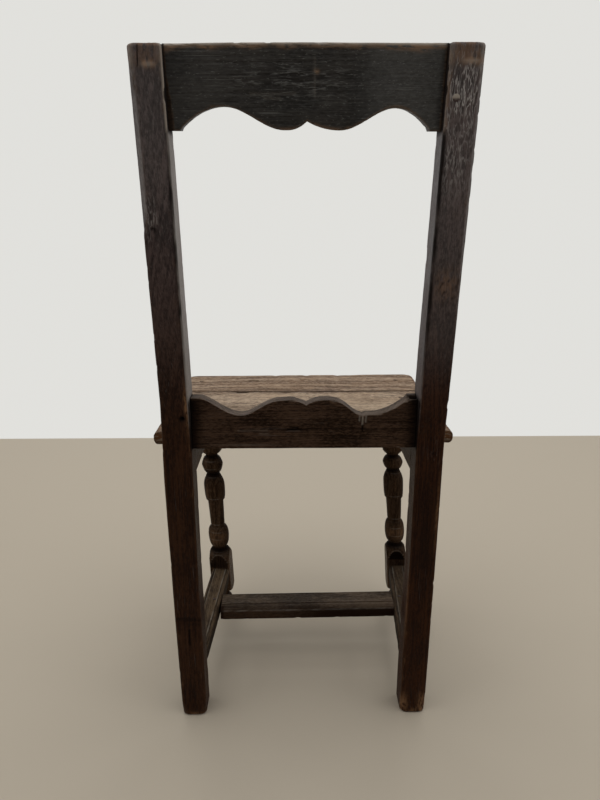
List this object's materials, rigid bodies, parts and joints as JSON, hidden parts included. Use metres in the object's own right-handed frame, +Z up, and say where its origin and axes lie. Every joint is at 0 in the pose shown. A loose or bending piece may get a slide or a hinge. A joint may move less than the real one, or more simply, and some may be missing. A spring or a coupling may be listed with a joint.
{
  "type": "provincial side chair",
  "caption": "Armless oak chair with a pegged mortise and tenon frame, scalloped crest and back rail, plank seat, turned front legs and flat stretchers.",
  "frame": {"origin": "on the floor, at the centre of the chair's width and depth", "axes": "+Z up; the sitter faces -Y, so the back is at +Y; +X to the sitter's left"},
  "size_m": [0.404, 0.3898, 0.9008],
  "materials": {
    "black_oak": "blackened, waxed, scratched",
    "dark_oak": "dark stained, waxed, worn at the edges",
    "seat_oak": "weathered, dry, open grain",
    "peg_oak": "riven end grain, waxed"
  },
  "bodies": {
    "root": {"crest_rail": "black_oak", "left_rear_post": "dark_oak", "right_rear_post": "dark_oak", "back_rail": "dark_oak", "front_rail": "dark_oak", "left_side_rail": "dark_oak", "right_side_rail": "dark_oak", "left_front_leg": "dark_oak", "right_front_leg": "dark_oak", "left_side_stretcher": "dark_oak", "right_side_stretcher": "dark_oak", "middle_stretcher": "dark_oak", "rear_seat_board": "seat_oak", "front_seat_board": "seat_oak", "left_crest_peg": "peg_oak", "left_back_rail_peg": "peg_oak", "left_side_rail_rear_peg": "peg_oak", "left_side_rail_front_peg": "peg_oak", "left_front_rail_peg": "peg_oak", "left_stretcher_rear_peg": "peg_oak", "left_stretcher_front_peg": "peg_oak", "left_middle_stretcher_peg": "peg_oak", "left_front_seat_peg": "peg_oak", "left_rear_seat_peg": "peg_oak", "left_middle_seat_peg": "peg_oak", "right_crest_peg": "peg_oak", "right_back_rail_peg": "peg_oak", "right_side_rail_rear_peg": "peg_oak", "right_side_rail_front_peg": "peg_oak", "right_front_rail_peg": "peg_oak", "right_stretcher_rear_peg": "peg_oak", "right_stretcher_front_peg": "peg_oak", "right_middle_stretcher_peg": "peg_oak", "right_front_seat_peg": "peg_oak", "right_rear_seat_peg": "peg_oak", "right_middle_seat_peg": "peg_oak"}
  },
  "joints": []
}
